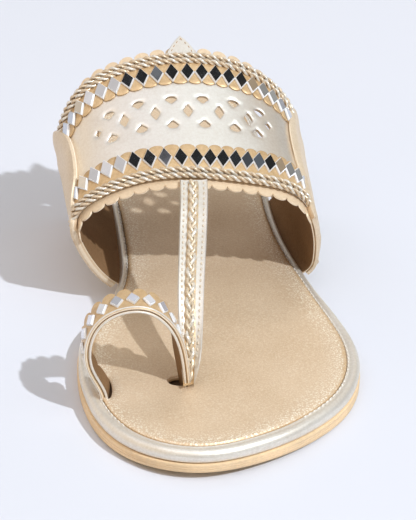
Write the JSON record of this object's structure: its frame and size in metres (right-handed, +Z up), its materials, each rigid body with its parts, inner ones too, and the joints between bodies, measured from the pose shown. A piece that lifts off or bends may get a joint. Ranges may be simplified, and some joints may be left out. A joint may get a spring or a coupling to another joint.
{
  "type": "kolhapuri sandal",
  "caption": "Flat open sandal for the left foot: wide arched instep band on a cushioned sole, with a toe strap and a toe ring.",
  "frame": {"origin": "on the floor, under the middle of the sandal's bounding box", "axes": "toe towards -Y, heel towards +Y, little-toe side towards +X, +Z up"},
  "size_m": [0.0955, 0.246, 0.0766],
  "materials": {
    "tan_rubber": "satin moulded rubber",
    "champagne_leather": "champagne-silver metallic foil leather",
    "insole_leather": "fine-grained gold-tan metallic leather, padded",
    "band_leather": "champagne metallic leather over a gold-tan lining",
    "gold_tan_leather": "gold-tan metallic leather with light cut edges",
    "mirror_glass": "small bevelled mirrors",
    "metallic_cord": "twisted gold and silver metallic cord"
  },
  "bodies": {
    "root": {"outsole": "tan_rubber", "midsole": "champagne_leather", "insole": "insole_leather", "upper": "band_leather", "side_tab_medial": "gold_tan_leather", "side_tab_lateral": "gold_tan_leather", "finial": "champagne_leather"}
  },
  "joints": []
}
